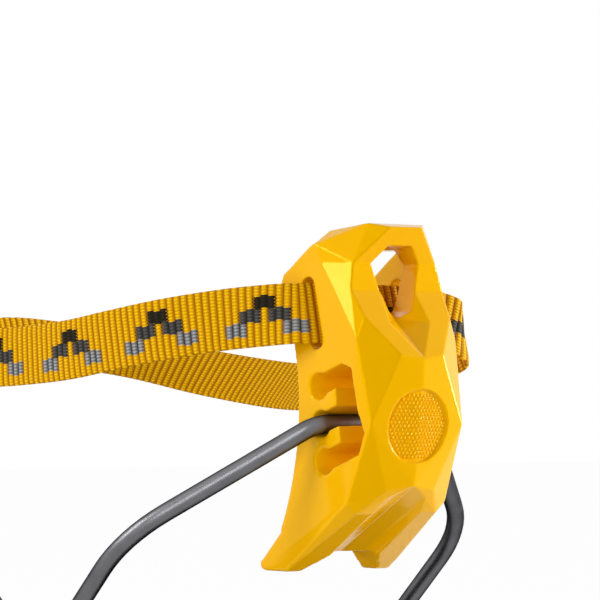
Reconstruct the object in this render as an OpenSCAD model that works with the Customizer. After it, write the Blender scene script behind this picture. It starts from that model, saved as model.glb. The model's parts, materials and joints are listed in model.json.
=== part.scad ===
// Twelve-point crampon with a wire toe bail and a moulded heel lever.
// Frame: +X right, +Y towards the toe, +Z up, origin on the heel platform's top face.

/* [Sheet steel] */
// Thickness of the frame plates
plate_t = 3; // [2.5:0.1:3.5]
// Inside radius of every bend
bend_r = 2; // [1.5:0.1:3]
// Height of the platform above the ground points
point_l = 36; // [30:1:42]
// Width of a ground point at its root
point_w = 20; // [16:1:20]
// Width of a ground point at its tip
tip_w = 3.5; // [2.5:0.1:5]

/* [Rear frame] */
// Half width of the flat rear platform
rear_half = 37; // [35:0.5:40]
// Rear end of the rear platform
rear_y0 = -44; // [-48:1:-43]
// Front end of the rear platform
rear_y1 = 46; // [46:1:50]
// Middle of the rear pair of points
rear_point_y = -32; // [-33:0.5:-31]
// Middle of the front pair of points on the rear frame
mid_point_y = 35; // [34:0.5:36]
// Width of the upturned ears for the heel bail
ear_w = 24; // [22:1:26]
// Spacing of the holes in a heel ear
ear_pitch = 8; // [7:0.5:9]

/* [Front frame] */
// Half width of the flat front platform
front_half = 39; // [37:0.5:40]
// Rear end of the front platform
front_y0 = 120; // [118:1:122]
// Front end of the front platform
front_y1 = 234; // [230:1:238]
// Half width of the platform at the toe
toe_half = 21; // [19.5:1.5:22.5]
// Half distance between the front points
front_point_x = 12; // [11:0.5:13]
// Length of the front points past their bend
front_point_l = 36; // [30:1:42]
// Droop of the front points
front_point_droop = 24; // [18:1:32]

/* [Heel bail] */
// Diameter of the bail wire
wire_d = 4.5; // [4:0.1:5]
// Distance of the bail's pivot ahead of the origin
pivot_y = 9; // [8:0.5:10]
// Height of the bail's pivot above the platform
pivot_z = 10; // [9.5:0.5:11]
// Half distance between the bail's arms
arm_x = 51.5; // [50.5:0.5:53]
// Half width of the straight bar in the lever
bar_x = 16.7; // [16:0.1:18]
// Distance from the bar to the arms' outer bends
flare_t = 42; // [38:1:46]

/* [Heel lever] */
// Place of the lever's wire seat behind the origin
seat_y = -60.3; // [-62:0.1:-58]
// Height of the lever's wire seat above the platform
seat_z = 70; // [66:1:74]
// Spacing of the three wire seats
seat_pitch = 9; // [8.6:0.1:9.4]
// Running clearance of the wire in a seat
seat_gap = 0.1; // [0.05:0.01:0.15]
// Radius of the hollow that hugs the boot's heel
heel_cup_r = 66; // [58:1:75]
// Diameter of the round stippled recess
recess_d = 17.5; // [14:0.5:18]
// Depth of the round recess
recess_depth = 0.9; // [0.5:0.1:1.2]

/* [Strap] */
// Width of the webbing
strap_w = 15; // [13:0.5:16]
// Thickness of the webbing
strap_t = 1.6; // [1.2:0.1:2]
// Diameter of the buckle rings' wire
ring_d = 3; // [2.5:0.1:3.2]

/* [Linking bar] */
// Width of the bar
link_w = 22; // [20:0.5:23]
// Thickness of the bar
link_t = 2.5; // [2:0.1:3]
// Rear end of the bar
link_y0 = -14; // [-15:1:-13]
// Spacing of the length holes
hole_pitch = 10; // [9:0.5:11]
// Number of length holes
hole_count = 7; // [5:2:7]
// Diameter of the locking peg
peg_d = 5; // [4.5:0.1:5.4]
// Angle by which the lock is lifted
lock_open = 16; // [14:1:20]

/* [Toe bail] */
// Distance of the toe bail's pivot ahead of the origin
toe_pivot_y = 202; // [200:0.5:203]
// Lean of the toe bail above level
toe_lean = 35; // [28:1:45]
// Reach of the toe bail from its pivot
toe_reach = 50; // [46:1:54]

/* [Fasteners and fits] */
// Shank diameter of the rivets
rivet_d = 4; // [3.5:0.1:4.5]
// Diameter of the hinge pin of the linking bar
hinge_d = 5; // [4.5:0.1:5.5]
// Diameter of the lock's pin
lock_pin_d = 4; // [3.5:0.1:4.2]
// Radial clearance of pins and rivets
fit_gap = 0.05; // [0.03:0.01:0.08]
// Clearance of sliding flat faces
slide_gap = 0.25; // [0.2:0.05:0.3]
// Thickness of the guide brackets
guide_t = 2; // [1.6:0.1:2.4]
// Depth of the anti-balling pads
pad_depth = 11; // [9:0.5:13]

/* [Hidden] */
$fn = 48;

steel = [0.20, 0.20, 0.22];
bright = [0.62, 0.62, 0.64];
yellow = [0.94, 0.72, 0.02];
black = [0.07, 0.07, 0.08];
big = 200;
cut = 60;

function unit(v) = v / norm(v);

// Sheet metal
bend_o = bend_r + plate_t;
blade_l = point_l - bend_o;
ear_x = rear_half + bend_r;
toe_ear_x = front_half + bend_r;

// Flat outlines

module rounded_square(x0, x1, y0, y1, r) {
    translate([x0 + r, y0])
        square([x1 - x0 - 2 * r, y1 - y0]);
    translate([x0, y0 + r])
        square([x1 - x0, y1 - y0 - 2 * r]);
    for (x = [x0 + r, x1 - r], y = [y0 + r, y1 - r])
        translate([x, y])
            circle(r);
}

// A solid with its outline in the YZ plane, from x0 to x1
module along_x(x0, x1) {
    translate([x0, 0, 0])
        rotate([90, 0, 90])
            linear_extrude(x1 - x0)
                children();
}

// A solid with its outline in the XZ plane, from y0 to y1
module along_y(y0, y1) {
    translate([0, y1, 0])
        rotate([90, 0, 0])
            linear_extrude(y1 - y0)
                children();
}

module both_sides() {
    children();
    mirror([1, 0, 0])
        children();
}

// Bent tabs: each starts at a plate edge on x = 0 and leaves towards +X

module tab_down(w, angle) {
    translate([-bend_r, -w / 2, -plate_t])
        cube([bend_r, w, plate_t]);
    translate([0, w / 2, -bend_o])
        rotate([90, 0, 0])
            rotate([0, 0, 90 - angle])
                rotate_extrude(angle = angle)
                    translate([bend_r, 0])
                        square([plate_t, w]);
    translate([0, 0, -bend_o])
        rotate([0, angle, 0])
            translate([0, 0, bend_r])
                linear_extrude(plate_t)
                    children();
}

module tab_up(w) {
    translate([0, 0, -plate_t])
        mirror([0, 0, 1])
            tab_down(w, 90)
                children();
}

// Centre of the circle of radius r through a and b, on the left of the way from a to b
function arc_centre(a, b, r) =
    let (half = (b - a) / 2, side = sqrt(r * r - half * half))
    a + half + side * unit([-half[1], half[0]]);

// A tapering point with hollow sides, its tip moved sideways by lean
module blade(w, len, lean) {
    hollow_r = 2.2 * len;
    left = [[0, w / 2], [len, lean + tip_w / 2]];
    right = [[len, lean - tip_w / 2], [0, -w / 2]];
    difference() {
        polygon(concat(left, right));
        for (edge = [left, right])
            translate(arc_centre(edge[0], edge[1], hollow_r))
                circle(hollow_r, $fn = 96);
    }
}

module ground_point(lean) {
    tab_down(point_w, 90)
        blade(point_w, blade_l, lean);
}

// Rear frame
ear_mid_y = pivot_y;
ear_rise = pivot_z + 7.5;
wire_hole_d = wire_d + 2 * seat_gap;
web_y0 = -9;
rear_guide_y = [10, 24];
front_guide_y = [31, 45];
rivet_x = 18;
rivet_step = 4;
rivet_hole_d = rivet_d + 2 * fit_gap;
clip_d = 5;
clip_gap = 0.1;
clip_x = 27;
rear_clip_y = [-38, 2];

// An upturned ear with a row of wire holes; offsets are along the ear from its middle
module ear(w, rise, hole_z, offsets) {
    up = rise - bend_r;
    corner = 6;
    tab_up(w)
        difference() {
            union() {
                translate([0, -w / 2])
                    square([up - corner, w]);
                translate([0, -w / 2 + corner])
                    square([up, w - 2 * corner]);
                for (side = [-1, 1])
                    translate([up - corner, side * (w / 2 - corner)])
                        circle(corner);
            }
            for (y = offsets)
                translate([hole_z - bend_r, y])
                    circle(d = wire_hole_d);
        }
}

module side_notch(half, y0, y1, depth) {
    r = min(depth, (y1 - y0) / 2) * 0.95;
    translate([half - depth + r, y0])
        square([depth, y1 - y0]);
    translate([half - depth, y0 + r])
        square([depth + r, y1 - y0 - 2 * r]);
    for (y = [y0 + r, y1 - r])
        translate([half - depth + r, y])
            circle(r);
}

module rear_outline() {
    ear_y0 = ear_mid_y - ear_w / 2;
    ear_y1 = ear_mid_y + ear_w / 2;
    difference() {
        rounded_square(-rear_half, rear_half, rear_y0, rear_y1, 1);
        both_sides() {
            side_notch(rear_half, rear_point_y + point_w / 2, ear_y0, 6);
            side_notch(rear_half, ear_y1, mid_point_y - point_w / 2, 4);
        }
        rounded_square(-22, 22, rear_y0 + 12, web_y0, 5);
        both_sides()
            rounded_square(25, 31.5, ear_y0 + 8, ear_y1 + 2, 3);
        both_sides()
            for (g = [rear_guide_y, front_guide_y], s = [-1, 1])
                translate([rivet_x, (g[0] + g[1]) / 2 + s * rivet_step])
                    circle(d = rivet_hole_d);
        both_sides()
            for (y = rear_clip_y)
                translate([clip_x, y])
                    circle(d = clip_d + 2 * clip_gap);
    }
}

module rear_frame() {
    color(steel) {
        translate([0, 0, -plate_t])
            linear_extrude(plate_t)
                rear_outline();
        both_sides() {
            translate([rear_half, rear_point_y, 0])
                ground_point(-3);
            translate([rear_half, mid_point_y, 0])
                ground_point(2);
            translate([rear_half, ear_mid_y, 0])
                ear(ear_w, ear_rise, pivot_z, [-ear_pitch, 0, ear_pitch]);
        }
    }
}

// Front frame
hinge_y = front_y0 + 12;
hinge_z = -plate_t - 6.5;
lug_w = 16;
lug_gap = 1.5;
lug_x = link_w / 2 + lug_gap;
notch_half = lug_x + bend_o;
notch_y1 = hinge_y + 12;
front_side_y = [front_y0 + 13, front_y0 + 52];
toe_ear_w = 14;
toe_pivot_z = 9;
toe_ear_rise = toe_pivot_z + 7.5;
front_clip_y = [notch_y1 + 13, toe_pivot_y + 2];
front_clip_x = 25;
// The toe narrows along a 3-4-5 triangle, whose sine and cosine are short decimals
toe_edge = (front_half - toe_half) * [1, 4 / 3];
toe_turn = atan2(toe_edge[0], toe_edge[1]);
shoulder_y = front_y1 - toe_edge[1];

module front_outline() {
    difference() {
        polygon([[-front_half, front_y0], [front_half, front_y0], [front_half, shoulder_y],
                 [toe_half, front_y1], [-toe_half, front_y1], [-front_half, shoulder_y]]);
        translate([-notch_half, front_y0 - 1])
            square([2 * notch_half, notch_y1 - front_y0 + 1]);
        both_sides() {
            side_notch(front_half, front_side_y[0] + point_w / 2, front_side_y[1] - point_w / 2, 7);
            side_notch(front_half, front_side_y[1] + point_w / 2, toe_pivot_y - toe_ear_w / 2, 4);
        }
        rounded_square(-20, 20, notch_y1 + 10, front_y1 - 18, 8);
        both_sides()
            for (y = front_clip_y)
                translate([front_clip_x, y])
                    circle(d = clip_d + 2 * clip_gap);
    }
}

module hinge_lug() {
    tab_down(lug_w, 90)
        difference() {
            union() {
                translate([0, -lug_w / 2])
                    square([-hinge_z - bend_o, lug_w]);
                translate([-hinge_z - bend_o, 0])
                    circle(d = lug_w);
            }
            translate([-hinge_z - bend_o, 0])
                circle(d = hinge_d + 2 * fit_gap);
        }
}

// Side view of a front point: flat root, a bend and a drooping blade
module front_point_side() {
    fall = [cos(front_point_droop), -sin(front_point_droop)];
    steps = [0:front_point_droop / 6:front_point_droop];
    top = [for (a = steps) bend_o * [sin(a), cos(a) - 1]];
    low = [for (a = steps) [bend_r * sin(a), bend_r * cos(a) - bend_o]];
    polygon(concat([[-bend_r, 0]], top, [top[6] + fall * front_point_l, low[6] + fall * front_point_l],
                   [for (i = [6:-1:0]) low[i]], [[-bend_r, -plate_t]]));
}

module front_point() {
    w = point_w - 2;
    intersection() {
        along_x(-w / 2, w / 2)
            front_point_side();
        translate([0, -bend_r, -big / 2])
            rotate([0, 0, 90])
                linear_extrude(big)
                    blade(w, front_point_l + 2 * bend_r, 0);
    }
}

module front_frame() {
    color(steel) {
        translate([0, 0, -plate_t])
            linear_extrude(plate_t)
                front_outline();
        both_sides() {
            for (y = front_side_y)
                translate([front_half, y, 0])
                    ground_point(1);
            translate([(front_half + toe_half) / 2, (front_y1 + shoulder_y) / 2, 0])
                rotate([0, 0, toe_turn])
                    ground_point(6);
            translate([front_half, toe_pivot_y, 0])
                ear(toe_ear_w, toe_ear_rise, toe_pivot_z, [0]);
            translate([front_point_x, front_y1, 0])
                front_point();
            translate([notch_half, hinge_y, 0])
                rotate([0, 0, 180])
                    hinge_lug();
        }
    }
}

// Anti-balling pads under the platforms
pad_gap = 0.1;
pad_top = -plate_t - pad_gap;
pad_low = pad_top - pad_depth;
bar_top = -plate_t - slide_gap;
bar_low = bar_top - link_t;
channel_half = link_w / 2 + 2;
channel_z = bar_low - 0.6;
clip_seat_z = pad_top - 4;
clip_head_t = 2;
clip_head_d = 9;

module pad_section(half, channel) {
    difference() {
        polygon([[-half, pad_top], [half, pad_top], [half - 3, pad_top - 3], [14, pad_low],
                 [-14, pad_low], [3 - half, pad_top - 3]]);
        if (channel)
            translate([-channel_half, channel_z])
                square([2 * channel_half, pad_depth]);
    }
}

module pad_clip_holes(x, ys) {
    both_sides()
        for (y = ys)
            translate([x, y, 0]) {
                translate([0, 0, -big / 2])
                    cylinder(d = clip_d + 2 * clip_gap, h = big);
                translate([0, 0, clip_seat_z - clip_head_t - big])
                    cylinder(d = clip_head_d + 1, h = clip_head_t + big);
            }
}

module pad_clips(x, ys) {
    both_sides()
        for (y = ys)
            translate([x, y, 0]) {
                translate([0, 0, clip_seat_z])
                    cylinder(d = clip_d, h = -clip_seat_z - 0.4);
                translate([0, 0, clip_seat_z - clip_head_t])
                    cylinder(d = clip_head_d, h = clip_head_t);
            }
}

module rear_pad() {
    color(black)
        difference() {
            intersection() {
                along_y(rear_y0 + 1, rear_guide_y[0] - 3)
                    pad_section(rear_half - 3, true);
                translate([0, 0, -big])
                    linear_extrude(big)
                        rounded_square(3 - rear_half, rear_half - 3, rear_y0 + 1, rear_guide_y[0] - 3, 6);
            }
            pad_clip_holes(clip_x, rear_clip_y);
        }
}

module front_pad() {
    y0 = notch_y1 + 3;
    y1 = front_y1 - 6;
    half = front_half - 4;
    color(black)
        difference() {
            intersection() {
                along_y(y0, y1)
                    pad_section(half, false);
                translate([0, 0, -big])
                    linear_extrude(big)
                        polygon([[-half, y0], [half, y0], [half, shoulder_y - 5], [toe_half - 5, y1],
                                 [5 - toe_half, y1], [-half, shoulder_y - 5]]);
            }
            pad_clip_holes(front_clip_x, front_clip_y);
        }
}

module rear_pad_clips() {
    color(black)
        pad_clips(clip_x, rear_clip_y);
}

module front_pad_clips() {
    color(black)
        pad_clips(front_clip_x, front_clip_y);
}

// Linking bar with its row of length holes and a rolled eye
peg_y = 62;
peg_gap = 0.5;
hole_half = (hole_count - 1) / 2;
eye_r = bar_top - hinge_z;

module link_bar() {
    color(steel)
        difference() {
            along_x(-link_w / 2, link_w / 2)
                difference() {
                    union() {
                        translate([link_y0, bar_low])
                            square([hinge_y - link_y0, link_t]);
                        translate([hinge_y - eye_r * 0.75, hinge_z])
                            square([eye_r * 0.75, bar_top - hinge_z]);
                        translate([hinge_y, hinge_z])
                            circle(eye_r);
                    }
                    translate([hinge_y, hinge_z])
                        circle(d = hinge_d + 2 * fit_gap);
                }
            for (k = [-hole_half:hole_half])
                translate([0, peg_y + k * hole_pitch, bar_low - 1])
                    cylinder(d = peg_d + 2 * peg_gap, h = link_t + 2);
            both_sides()
                translate([link_w / 2, link_y0, 0])
                    rotate([0, 0, 45])
                        cube([5, 5, big], center = true);
        }
}

// Guide brackets, riveted under the rear platform
wall_x = link_w / 2 + slide_gap;
floor_z = bar_low - slide_gap;
flange_x = rivet_x + 5;

module guide_section() {
    polygon([[-flange_x, -plate_t], [-wall_x, -plate_t], [-wall_x, floor_z], [wall_x, floor_z],
             [wall_x, -plate_t], [flange_x, -plate_t], [flange_x, -plate_t - guide_t],
             [wall_x + guide_t, -plate_t - guide_t], [wall_x + guide_t, floor_z - guide_t],
             [-wall_x - guide_t, floor_z - guide_t], [-wall_x - guide_t, -plate_t - guide_t],
             [-flange_x, -plate_t - guide_t]]);
}

module guide(span) {
    difference() {
        along_y(span[0], span[1])
            guide_section();
        both_sides()
            for (s = [-1, 1])
                translate([rivet_x, (span[0] + span[1]) / 2 + s * rivet_step, -big / 2])
                    cylinder(d = rivet_hole_d, h = big);
    }
}

module rear_guide() {
    color(bright)
        guide(rear_guide_y);
}

// The front guide carries the lock between two cheeks ahead of the platform
hub_r = lock_pin_d / 2 + 1.3;
lock_pin_y = rear_y1 + 7;
lock_pin_z = bar_top + 0.5 + hub_r;
cheek_r = lock_pin_d / 2 + 2;

module front_guide() {
    color(bright) {
        guide(front_guide_y);
        both_sides()
            along_x(wall_x, wall_x + guide_t)
                difference() {
                    union() {
                        translate([front_guide_y[1] - 1, floor_z - guide_t])
                            square([lock_pin_y + cheek_r - front_guide_y[1] + 1, -plate_t - floor_z + guide_t]);
                        translate([lock_pin_y - cheek_r, floor_z - guide_t])
                            square([2 * cheek_r, lock_pin_z - floor_z + guide_t]);
                        translate([lock_pin_y, lock_pin_z])
                            circle(cheek_r);
                    }
                    translate([lock_pin_y, lock_pin_z])
                        circle(d = lock_pin_d + 2 * fit_gap);
                }
    }
}

module guide_rivets() {
    head_d = rivet_d + 3.5;
    color(bright)
        both_sides()
            for (g = [rear_guide_y, front_guide_y], s = [-1, 1])
                translate([rivet_x, (g[0] + g[1]) / 2 + s * rivet_step, -plate_t - guide_t]) {
                    cylinder(d = rivet_d, h = plate_t + guide_t - 0.2);
                    translate([0, 0, -1.5])
                        cylinder(d1 = rivet_d, d2 = head_d, h = 1.5);
                }
}

// Pins
pin_head_t = 1.5;
hinge_half = lug_x + plate_t;

module pin(d, half, head_gap) {
    rotate([0, 90, 0]) {
        translate([0, 0, -half - head_gap])
            cylinder(d = d, h = 2 * half + 2 * head_gap + 1);
        translate([0, 0, -half - head_gap - pin_head_t])
            cylinder(d = d + 3, h = pin_head_t);
    }
}

module hinge_pin() {
    color(bright)
        translate([0, hinge_y, hinge_z])
            pin(hinge_d, hinge_half, 0.1);
}

module hinge_pin_head() {
    color(bright)
        along_x(hinge_half + 0.1, hinge_half + 0.1 + pin_head_t)
            translate([hinge_y, hinge_z])
                difference() {
                    circle(d = hinge_d + 4);
                    circle(d = hinge_d + 2 * fit_gap);
                }
}

module lock_pin() {
    color(bright)
        translate([0, lock_pin_y, lock_pin_z])
            pin(lock_pin_d, wall_x + guide_t, 0.1);
}

// Lock lever and its peg, drawn closed and lifted by lock_open
lock_half = link_w / 2 - 0.5;
lock_t = 2;
lock_l = 22;
lock_arm = peg_y - lock_pin_y;

module lifted() {
    translate([0, lock_pin_y, lock_pin_z])
        rotate([lock_open, 0, 0])
            translate([0, -lock_pin_y, -lock_pin_z])
                children();
}

module lock_lever() {
    arm_z = lock_pin_z - hub_r + 0.2;
    color(bright)
        lifted()
            difference() {
                along_x(-lock_half, lock_half)
                    difference() {
                        union() {
                            translate([lock_pin_y, lock_pin_z])
                                circle(hub_r);
                            translate([lock_pin_y, arm_z])
                                square([lock_l, lock_t]);
                            translate([lock_pin_y + lock_l, arm_z + 4])
                                difference() {
                                    circle(4);
                                    circle(4 - lock_t);
                                    translate([-8, -8])
                                        square([8, 16]);
                                    translate([-8, 0])
                                        square([16, 8]);
                                }
                            translate([lock_pin_y + lock_l + 4 - lock_t, arm_z + 4])
                                square([lock_t, 5]);
                        }
                        translate([lock_pin_y, lock_pin_z])
                            circle(d = lock_pin_d + 2 * fit_gap);
                    }
                translate([0, peg_y, -big / 2])
                    cylinder(d = peg_d - 1 + 2 * fit_gap, h = big);
            }
}

module lock_peg() {
    arm_z = lock_pin_z - hub_r + 0.2;
    tip = 1;
    color(bright)
        lifted()
            translate([0, peg_y, 0]) {
                translate([0, 0, bar_low + tip])
                    cylinder(d = peg_d, h = arm_z - bar_low - tip - 0.05);
                translate([0, 0, bar_low])
                    cylinder(d1 = peg_d - 2 * tip, d2 = peg_d, h = tip);
                translate([0, 0, arm_z - 0.1])
                    cylinder(d = peg_d - 1, h = lock_t + 0.6);
            }
}

// Wire forms: straight rods joined by round bends along a flat path that turns left.
// Each path entry is [x, y, bend radius]; a closed path joins its ends.

function xy(p) = [p[0], p[1]];
function heading(a, b) = unit(xy(b) - xy(a));
function turn_at(a, b, c) =
    let (u = heading(a, b), v = heading(b, c))
    atan2(u[0] * v[1] - u[1] * v[0], u * v);
function setback(a, b, c) = b[2] * tan(turn_at(a, b, c) / 2);

// Lengths and bends of a path, one [straight, turn, bend radius] for each leg
function legs(path, closed) =
    let (n = len(path), at = function (i) path[(i + n) % n],
         cut = function (i) !closed && (i == 0 || i == n - 1) ? 0 : setback(at(i - 1), at(i), at(i + 1)))
    [for (i = [0:n - (closed ? 1 : 2)])
        [norm(xy(at(i + 1)) - xy(at(i))) - cut(i) - cut((i + 1) % n),
         closed || i < n - 2 ? turn_at(at(i), at(i + 1), at(i + 2)) : 0,
         at(i + 1)[2]]];

// One leg and what follows it; each bend is a hair thinner than the rods and runs into their ends
seam = 0.03;
seam_turn = 2;

module run(steps, d, i = 0) {
    leg = steps[i];
    rotate([0, 90, 0])
        cylinder(d = d, h = leg[0]);
    if (leg[1] > 0)
        translate([leg[0], leg[2], 0]) {
            rotate([0, 0, -90 - seam_turn])
                rotate_extrude(angle = leg[1] + 2 * seam_turn)
                    translate([leg[2], 0])
                        circle(d = d - 2 * seam);
            rotate([0, 0, leg[1]])
                translate([0, -leg[2], 0])
                    if (i < len(steps) - 1)
                        run(steps, d, i + 1);
        }
}

module wire(path, d, closed = false) {
    start = xy(path[0]);
    u = heading(path[0], path[1]);
    first = closed ? setback(path[len(path) - 1], path[0], path[1]) : 0;
    translate([start[0] + u[0] * first, start[1] + u[1] * first, 0])
        rotate([0, 0, atan2(u[1], u[0])])
            run(legs(path, closed), d);
}

function mirrored(path) = concat(path, [for (i = [len(path) - 1:-1:0]) [-path[i][0], path[i][1], path[i][2]]]);

// Heel bail: flat path with the lever bar at 0 and the pivots at bail_reach
bail_reach = norm([pivot_y - seat_y, seat_z - pivot_z]);
bail_slope = atan2(seat_z - pivot_z, pivot_y - seat_y);
bar_bend_r = 8;
flare_bend_r = 20;
stub_bend_r = 6;
stub_in = 1.5;
bail_half = [[stub_in - ear_x, bail_reach, 0], [-arm_x, bail_reach, stub_bend_r],
             [-arm_x, flare_t, flare_bend_r], [-bar_x, 0, bar_bend_r]];

module heel_bail() {
    color(steel)
        translate([0, seat_y, seat_z])
            rotate([-bail_slope, 0, 0])
                wire(mirrored(bail_half), wire_d);
}

toe_arm_x = toe_ear_x + plate_t + 4.2;
toe_bar_x = 31;
toe_half_path = [[toe_ear_x - stub_in, 0, 0], [toe_arm_x, 0, stub_bend_r - 1],
                 [toe_arm_x, toe_reach * 0.42, 14], [toe_bar_x, toe_reach, 14]];

module toe_bail() {
    color(steel)
        translate([0, toe_pivot_y, toe_pivot_z])
            rotate([toe_lean, 0, 0])
                wire(mirrored(toe_half_path), wire_d);
}

// Heel lever, in its own frame: seat_off ahead of the frame's origin is the middle wire seat.
// Corners of the faceted moulding, right half.
seat_off = 17.7;
lever_at = [0, seat_y - seat_off, seat_z];
crest = [4.7, 4.1, 47];
top_rear = [8.3, 8.5, 48];
top_side = [15.5, 20.2, 43.1];
bevel_side = [14, 17.8, 41.8];
cheek_top = [15, 18.2, 38.7];
cheek_mid = [14.9, 13, 31.8];
cheek_low = [14.8, 4.1, 20];
ring_high = [12.4, 8.9, 38.3];
ring_wide = [13.7, 7.8, 31.8];
ring_waist = [12.7, 3.6, 25.4];
ring_foot = [6.3, -2.3, 16.4];
ring_apex = [0, -3.1, 15.3];
belly_side = [13.6, -0.1, 0.1];
belly_ridge = [0, -2.1, 0.1];
ridge_end = [0, 1.1, -14.7];
notch_top = [7.1, 2.9, -15.9];
hip = [14.6, 8.1, -18.7];
heel_in = [11.9, 8.2, -21.4];
foot_end = [15.5, 33, -36.6];
front_y = 50;
front_x = 17;
foot_low = -36;
foot_tip = 42.2;
cup_y = 26.4;
cup_z = 4.4;
foot_root = -26.4;
foot_cup_r = 22;
foot_cup_y = 56.8;

function pair(p) = [p, [-p[0], p[1], p[2]]];
function front_pair(z) = pair([front_x, front_y, z]);
function gather(lists) = [for (l = lists, p = l) p];

// Convex body round a set of corners
module corners(points) {
    hull()
        polyhedron(points, [for (i = [0:len(points) - 3]) [i, i + 1, i + 2]]);
}

module lever_belly() {
    corners(concat([ring_apex, belly_ridge, ridge_end],
                   gather([pair(cheek_low), pair(ring_foot), pair(belly_side), pair(notch_top), pair(hip),
                           pair(heel_in), pair(foot_end), front_pair(20), front_pair(-39)])));
}

module lever_blank() {
    corners(gather([pair(crest), pair(top_rear), pair(top_side), pair(bevel_side), pair(cheek_top),
                    pair(ring_high), front_pair(43.1), front_pair(38.5)]));
    corners(gather([pair(ring_high), pair(ring_wide), pair(cheek_top), pair(cheek_mid),
                    front_pair(38.7), front_pair(31.8)]));
    corners(concat([ring_apex],
                   gather([pair(ring_wide), pair(ring_waist), pair(ring_foot), pair(cheek_mid),
                           pair(cheek_low), front_pair(31.8), front_pair(15)])));
    lever_belly();
}

// Side view of the lever: loose behind, the heel cup and the feet ahead
module lever_side() {
    difference() {
        polygon([[-9, 52], [top_side[1], 52], [top_side[1] + 0.5, top_side[2] + 0.4], [27.5, 39.5],
                 [32.6, 36.2], [33.6, 34], [33.6, foot_root], [foot_tip - 1.6, foot_low + 3],
                 [foot_tip - 0.5, foot_low + 2.3], [foot_tip, foot_low + 1.4], [foot_tip - 0.5, foot_low + 0.5],
                 [foot_tip - 1.6, foot_low], [31, foot_low], [-9, -14]]);
        intersection() {
            translate([cup_y + heel_cup_r, cup_z])
                circle(heel_cup_r, $fn = 128);
            translate([0, foot_root])
                square(2 * cut);
        }
    }
}

// E-shaped slot: a channel behind, three seats that slope down to the toe
seat_r = wire_d / 2 + seat_gap;
seat_slope = 18;
seat_drift = 0.11;
seat_back = 10.3;

function seat_place(k) = [seat_off + k * seat_pitch * seat_drift, k * seat_pitch];

module lever_slot() {
    for (k = [-1:1])
        translate(seat_place(k)) {
            circle(seat_r);
            rotate([0, 0, 180 - seat_slope])
                translate([0, -seat_r])
                    square([seat_back, 2 * seat_r]);
        }
    polygon([[10.2, 14.1], [6.2, 13.4], [4.2, 3.1], [2.2, -2.1], [4.2, -7.3], [8, -8.5], [9.9, -7],
             [10.6, -4], [11.9, 4], [12.2, 9]]);
}

module seat_flares() {
    both_sides()
        for (k = [-1:1])
            translate([12.4, seat_place(k)[0], seat_place(k)[1]])
                rotate([0, 90, 0])
                    cylinder(r1 = seat_r, r2 = seat_r + 1.6, h = 4.6);
}

// Finger window, the V-shaped scoop below it and the hollow behind it
window = [[3.4, 42.6], [7, 38.4], [5, 31], [3.4, 27], [1.2, 25.6]];
scoop_root = [0, 8.6, 25.3];
scoop_apex = [0, -2.9, 15.6];
scoop_side = [5.9, 2.9, 24.3];
scoop_top = [5.1, 7.1, 30.7];
scoop_run = 0.5;
hollow_y = 14.5;
hollow_half = 11.2;
hollow_top = 42;
hollow_low = 17;

// Point p moved away from the scoop's root, past the lever's face
function past(p) = p + scoop_run * (p - scoop_root);

module lever_window() {
    along_y(-10, hollow_y + 2)
        polygon(concat(window, [for (i = [len(window) - 1:-1:0]) [-window[i][0], window[i][1]]]));
    corners(concat([scoop_root, past(scoop_apex)], pair(past(scoop_side)), pair(past(scoop_top))));
}

// Strap slots through both cheeks, leaning with the webbing
slot_lean = 15.5;
slot_mid = [21.3, 26.6];
slot_w = strap_t + 3.2;
slot_l = strap_w + 3;

module strap_slot() {
    translate(slot_mid)
        rotate([0, 0, -slot_lean])
            rounded_square(-slot_w / 2, slot_w / 2, -slot_l / 2, slot_l / 2, slot_w / 2 - 0.1);
}

// Channel between the feet, running down to the toe
channel_fall = 29;
channel_w = 14;
arch_w = 13;
arch_y = 20;
arch_z = -31.3;
arch_flare = 4.6;

module foot_channel() {
    translate([0, ridge_end[1], ridge_end[2]])
        rotate([-channel_fall, 0, 0])
            along_y(-cut, cut)
                polygon([[0, 0], [channel_w / 2 - 1.5, -1], [channel_w / 2, -2.6], [channel_w / 2, -30],
                         [-channel_w / 2, -30], [-channel_w / 2, -2.6], [1.5 - channel_w / 2, -1]]);
    along_y(arch_y, cut)
        polygon([[-arch_w / 2, arch_z], [arch_w / 2, arch_z], [arch_w / 2 + arch_flare, foot_low],
                 [arch_w / 2 + arch_flare, -cut], [-arch_w / 2 - arch_flare, -cut],
                 [-arch_w / 2 - arch_flare, foot_low]]);
    translate([0, foot_cup_y, -cut])
        cylinder(r = foot_cup_r, h = cut + foot_root + 4);
}

module lever_recess() {
    difference() {
        translate([0, 6, -0.5])
            rotate([90, 0, 0])
                cylinder(d = recess_d, h = cut);
        translate([0, recess_depth, 0])
            lever_belly();
    }
}

module heel_lever() {
    color(yellow)
        translate(lever_at)
            difference() {
                intersection() {
                    lever_blank();
                    along_x(-cut, cut)
                        lever_side();
                }
                lever_window();
                translate([-hollow_half, hollow_y, hollow_low])
                    cube([2 * hollow_half, cut, hollow_top - hollow_low]);
                along_x(-cut, cut)
                    strap_slot();
                along_x(-cut, cut)
                    lever_slot();
                seat_flares();
                foot_channel();
                lever_recess();
            }
}

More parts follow.
